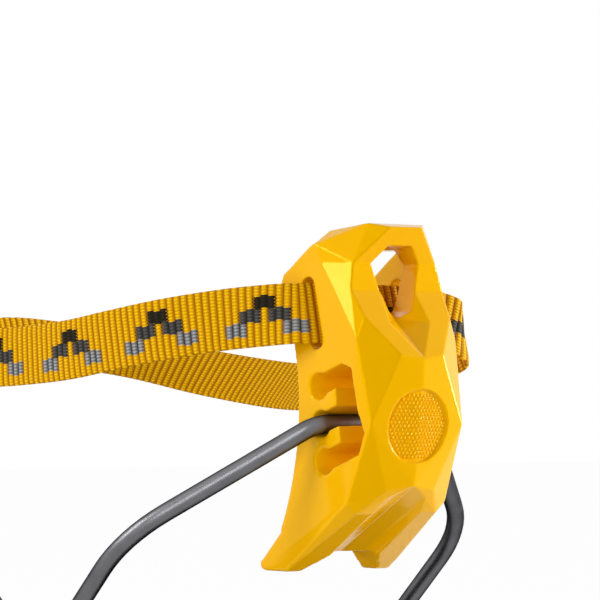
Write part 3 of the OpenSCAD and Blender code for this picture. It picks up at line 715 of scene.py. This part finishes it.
def make_webbing():
    f = Finish("woven_webbing", Specular_IOR_Level=0.2, Specular_Tint=tone(1.0, 0.75, 0.2))
    weave = f.node("ShaderNodeAttribute", {"attribute_name": "weave"}, {}, "Vector")
    run, across, side = f.parts(weave)
    rib = run / RIB
    count = rib.floor()
    crest = (rib * math.pi).sine().size()
    yarn = (across * (2 * math.pi / YARN) + count * math.pi).sine() * 0.5 + 0.5
    cloud = f.noise(f.place(), scale=700.0, detail=3.0)
    # Painted shade in the grooves between ribs, painted highlight on the rib crests and yarns.
    gold_painted_shade_and_highlight = f.blend(crest * (yarn * 0.5 + 0.55), tone(0.33, 0.09, 0.0), tone(1.0, 0.57, 0.0))

    ragged = across + (count % 2.0) * RAGGED - RAGGED / 2
    row = ((ragged + MARK_LOW) / MARK_ROW).floor()
    stitch = (rib + yarn * RAGGED - RAGGED / 2).floor()
    step = (stitch % MARK_EVERY - MARK_MIDDLE).size() - (2.0 - row) * MARK_LEAN
    inked = (step.size() < MARK_ARM) * (row > -0.5) * (row < 2.5) * (side > 0.2)
    grey = f.blend(row > 0.5, tone(0.42, 0.43, 0.46), tone(0.085, 0.088, 0.098))
    ink_and_painted_shade = f.blend(row > 1.5, grey, tone(0.008, 0.008, 0.009))
    # Painted shade: the print is darkened in the grooves between ribs.
    ink_and_painted_shade = f.blend(crest * (yarn * 0.6 + 0.4), tone(0.004, 0.004, 0.004), ink_and_painted_shade)
    return f.wear(
        Base_Color=f.blend(inked, gold_painted_shade_and_highlight, ink_and_painted_shade),
        Roughness=cloud * 0.2 + 0.5,
        Normal=f.bump(crest * 0.4 + yarn * crest * 0.6, 0.3 * MM))


woven_webbing = make_webbing()

# %% [markdown]
# The strap ends in two eyes, one round each end of the buckle's rings.

# %% Ankle strap with its eyes
EYE_GAP = 0.2
EYE_R = RING_D / 2 + EYE_GAP + STRAP_T / 2
EYE_STEPS = 48


def eye_route(y):
    line = []
    for k in range(EYE_STEPS + 1):
        turn = 2 * math.pi * k / EYE_STEPS
        side = math.copysign(RING_STEP / 2, math.cos(turn)) if abs(math.cos(turn)) > 1e-6 else 0
        x = RING_AT.x + side + EYE_R * math.cos(turn)
        line.append(Vector((x, y + EYE_R * math.sin(turn), RING_AT.z, 0)))
    return line


ankle_band = weave_band("ankle_webbing", spline(STRAP_ROUTE))
eyes = [weave_band("eye", eye_route(RING_AT.y + end * RING_L / 2), closed=True) for end in (-1, 1)]
join(ankle_band, *eyes)
stand_in(ankle_band, "lever", woven_webbing, "webbing", "ankle_strap")

# %% [markdown]
# Each end of the strap is turned back round its ring and sewn down with a zigzag of strong thread,
# on both faces of the band. The zigzag is counted in the steps of the strap's own line.

# %% Bar tacks
THREAD = 0.5
THREAD_LIFT = 0.05
TACK_W = 10.5
TACK_START = 6
TACK_PITCH = 3
TACK_STEPS = 12


def make_thread():
    f = Finish("tack_thread", Specular_IOR_Level=0.2)
    twist = f.noise(f.place(), scale=2500.0)
    return f.wear(
        Base_Color=f.blend(twist, tone(0.01, 0.01, 0.011), tone(0.035, 0.035, 0.038)),
        Roughness=twist * 0.2 + 0.55,
        Normal=f.bump(twist, 0.1 * MM))


def tack_line(line, indices, face):
    zigzag = []
    for k, i in enumerate(indices):
        wide, out = band_axes(line, i)
        offset = wide * (TACK_W / 2 * (-1) ** k) + out * (face * (STRAP_T / 2 + THREAD_LIFT))
        zigzag.append(LEVER / MM + line[i].xyz + offset)
    return zigzag


strap_line, _ = even(spline(STRAP_ROUTE), RIB / RIB_STEPS)
near = [TACK_START + TACK_PITCH * k for k in range(TACK_STEPS)]
far = [len(strap_line) - 1 - i for i in near]
stitching, *tacks = [draw_rod("tack", tack_line(strap_line, indices, face), THREAD)
                     for indices in (near, far) for face in (-1, 1)]
stitching.name = "ankle_stitching"
join(stitching, *tacks)
stand_in(stitching, "lever", make_thread(), "webbing", "ankle_strap")

# %% [markdown]
# What the buckle doesn't need hangs down as a tail.

# %% Strap tail
tail_band = weave_band("tail_webbing", spline(TAIL_ROUTE))
stand_in(tail_band, "lever", woven_webbing, "webbing", "strap_tail")

# %% [markdown]
# ## Frames and small steel
# The two frames are pressed from chromoly sheet and coated satin black. Rock and ice wear the coat
# off the tips of the points, and leave fine scratches along the rest.

# %% Coated sheet
DOWN_TIPS = 30 * MM
FRONT_TIPS = 262 * MM
FRONT_SHARE = 0.7
TIP_FADE = 250.0
SCRATCH = (900.0, 60.0, 300.0)
SCRATCH_LEVEL = 0.68


def make_sheet():
    f = Finish("coated_sheet", Specular_IOR_Level=0.25, Specular_Tint=tone(0.3, 0.3, 0.3))
    place = f.place()
    _, ahead, up = f.parts(place)
    cloud = f.noise(place, scale=90.0, detail=5.0)
    grain = f.noise(place, scale=1500.0)
    depth = ((ahead - FRONT_TIPS) * FRONT_SHARE).largest(up * -1.0 - DOWN_TIPS)
    bare = f.node("ShaderNodeClamp", {}, {0: depth * TIP_FADE + cloud * 2.4 - 1.2})
    drawn = f.node("ShaderNodeVectorMath", {"operation": "MULTIPLY"}, {0: place, 1: SCRATCH})
    scratch = (f.noise(drawn, scale=1.0, detail=3.0) > SCRATCH_LEVEL) * 0.5
    worn = bare.largest(scratch)
    coat = f.blend(cloud, tone(0.022, 0.022, 0.024), tone(0.05, 0.05, 0.053))
    steel = f.blend(grain, tone(0.26, 0.26, 0.265), tone(0.42, 0.42, 0.43))
    return f.wear(
        Base_Color=f.blend(worn, coat, steel),
        Metallic=worn * 0.9 + 0.1,
        Roughness=cloud * 0.2 + 0.46,
        Normal=f.bump(grain, 0.012 * MM))


coated_sheet = make_sheet()

# %% [markdown]
# Small fittings are bright plated steel. The pads that keep snow from balling up are matt plastic.

# %% Plating and pads
def make_plated():
    f = Finish("plated_steel", Metallic=1.0)
    cloud = f.noise(f.place(), scale=140.0, detail=4.0)
    return f.wear(
        Base_Color=f.blend(cloud, tone(0.42, 0.42, 0.43), tone(0.60, 0.60, 0.61)),
        Roughness=cloud * 0.22 + 0.2)


def make_pad():
    f = Finish("pad_plastic", Specular_IOR_Level=0.25)
    grain = f.noise(f.place(), scale=900.0, detail=3.0)
    return f.wear(
        Base_Color=f.blend(grain, tone(0.012, 0.012, 0.013), tone(0.024, 0.024, 0.026)),
        Roughness=grain * 0.15 + 0.62,
        Normal=f.bump(grain, 0.08 * MM))


plated_steel = make_plated()
pad_plastic = make_pad()

# %% [markdown]
# A light round on every edge keeps sheet and fittings from looking cut out of paper. Each row names
# a node, its body, its finish and slot, and the widest round in millimetres: the bevel narrows it
# where a face has no room.

# %% Sheet and fittings
FITTINGS = [
    ("rear_frame", "rear_section", coated_sheet, "frame_steel", 0.3),
    ("front_frame", "front_section", coated_sheet, "frame_steel", 0.3),
    ("link_bar", "link", coated_sheet, "frame_steel", 0.3),
    ("rear_guide", "rear_section", plated_steel, "pin_steel", 0.25),
    ("front_guide", "rear_section", plated_steel, "pin_steel", 0.25),
    ("guide_rivets", "rear_section", plated_steel, "pin_steel", 0.2),
    ("hinge_pin", "front_section", plated_steel, "pin_steel", 0.2),
    ("hinge_pin_head", "front_section", plated_steel, "pin_steel", 0.2),
    ("lock_lever", "lock", plated_steel, "pin_steel", 0.25),
    ("lock_peg", "lock", plated_steel, "pin_steel", 0.15),
    ("lock_pin", "rear_section", plated_steel, "pin_steel", 0.2),
    ("rear_pad", "rear_section", pad_plastic, "pad_plastic", 0.6),
    ("front_pad", "front_section", pad_plastic, "pad_plastic", 0.6),
    ("rear_pad_clips", "rear_section", pad_plastic, "pad_plastic", 0.25),
    ("front_pad_clips", "front_section", pad_plastic, "pad_plastic", 0.25),
    ("strap_keeper", "lever", pad_plastic, "pad_plastic", 0.2)]
for node, body, finish, slot, edge in FITTINGS:
    fitting = trace(node, node + "_edged")
    soften(fitting, edge * MM)
    stand_in(fitting, body, finish, slot, node)

# %% [markdown]
# ## Studio
# A pale floor under an even sky, with three soft boxes. Floor and sky look white to the camera, to
# mirrors and through clear things, and the floor still takes a little of the object's shadow.

# %% Floor
GROUND = cad_box[0][2]
FLOOR_SIZE = 8
GLOW_SHARE = 0.97


def seen_ray(tree):
    rays = tree.node("ShaderNodeLightPath", {}, {}).socket.node.outputs
    seen = Flow(tree, rays["Is Camera Ray"]).largest(Flow(tree, rays["Is Glossy Ray"]))
    return seen.largest(Flow(tree, rays["Is Transmission Ray"]))


def make_paper():
    f = Finish("white_paper", Base_Color=tone(0.9, 0.9, 0.9), Roughness=0.9)
    glow = f.node("ShaderNodeEmission", {}, {"Color": tone(1, 1, 1), "Strength": 1.0})
    paper = Flow(f, f.shader.outputs[0])
    mixed = f.node("ShaderNodeMixShader", {}, {0: seen_ray(f) * GLOW_SHARE, 1: paper, 2: glow})
    f.set(f.tree.nodes["Material Output"], {"Surface": mixed})
    return f.material


bpy.ops.mesh.primitive_plane_add(size=FLOOR_SIZE, location=(0, 0, GROUND))
floor = bpy.context.object
floor.data.materials.append(make_paper())
print("floor at", round(GROUND, 4))

# %% [markdown]
# Each soft box has a place, a width and height in metres, and a power in watts. All of them face
# the lever.

# %% Lights
SOFT_BOXES = [
    ("left", (-0.88, 0.36, 0.49), (0.35, 0.35), 4.5),
    ("kicker", (-0.88, -0.62, 0.3), (0.1, 0.6), 3.1),
    ("right", (0.95, -0.45, 0.12), (0.25, 0.6), 14.5)]
for name, place, size, power in SOFT_BOXES:
    bpy.ops.object.light_add(type="AREA", location=place)
    box = bpy.context.object
    box.name = name
    box.data.shape = "RECTANGLE"
    box.data.size, box.data.size_y = size
    box.data.energy = power
    box.rotation_euler = (LEVER - Vector(place)).to_track_quat("-Z", "Y").to_euler()
    print(name, "light of", power, "W")

# %% Sky
FILL = 0.42

world = bpy.data.worlds.new("studio")
bpy.context.scene.world = world
world.use_nodes = True
sky = Tree(world.node_tree)
sky.set(world.node_tree.nodes["Background"],
        {"Color": tone(1, 1, 1), "Strength": seen_ray(sky) * (1 - FILL) + FILL})
bpy.context.scene.view_settings.view_transform = "Standard"
print("sky lights the scene at", FILL)
